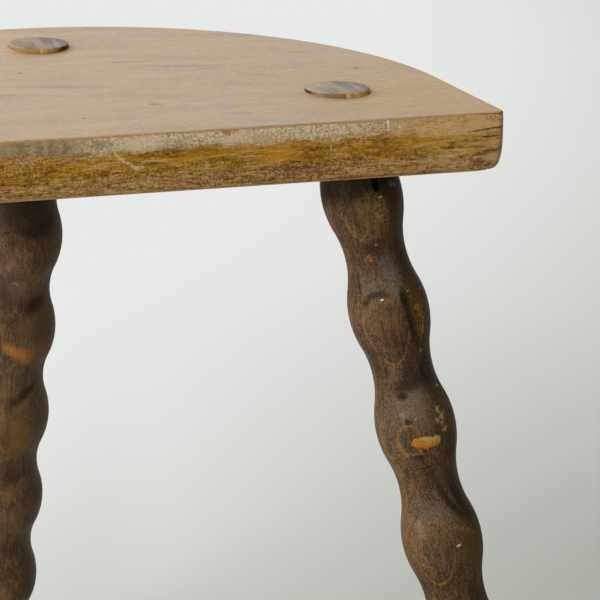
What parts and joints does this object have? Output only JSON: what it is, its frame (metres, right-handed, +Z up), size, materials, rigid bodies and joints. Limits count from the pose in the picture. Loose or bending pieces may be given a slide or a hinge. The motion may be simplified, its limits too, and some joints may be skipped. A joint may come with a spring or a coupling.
{
  "type": "three-legged plank stool",
  "caption": "Half-moon wooden plank stool on splayed bobbin-turned legs with wedged through tenons.",
  "frame": {"origin": "on the floor, under the middle of the stool's bounding box", "axes": "+X along the seat's straight front edge, to the right seen from the front; +Y from the straight front edge to the round back; +Z up"},
  "size_m": [0.4768, 0.406, 0.4525],
  "materials": {
    "seat_wood": "worn satin varnish over pale tan boards, amber and brown with grime on the front edge",
    "leg_wood": "dark walnut-brown stain under satin varnish, worn to amber on the beads",
    "wedge_wood": "bare light wood, trimmed flush with the tenon"
  },
  "bodies": {
    "root": {"seat": "seat_wood", "front_left_leg": "leg_wood", "front_right_leg": "leg_wood", "back_leg": "leg_wood", "front_left_wedge": "wedge_wood", "front_right_wedge": "wedge_wood", "back_wedge": "wedge_wood"}
  },
  "joints": []
}
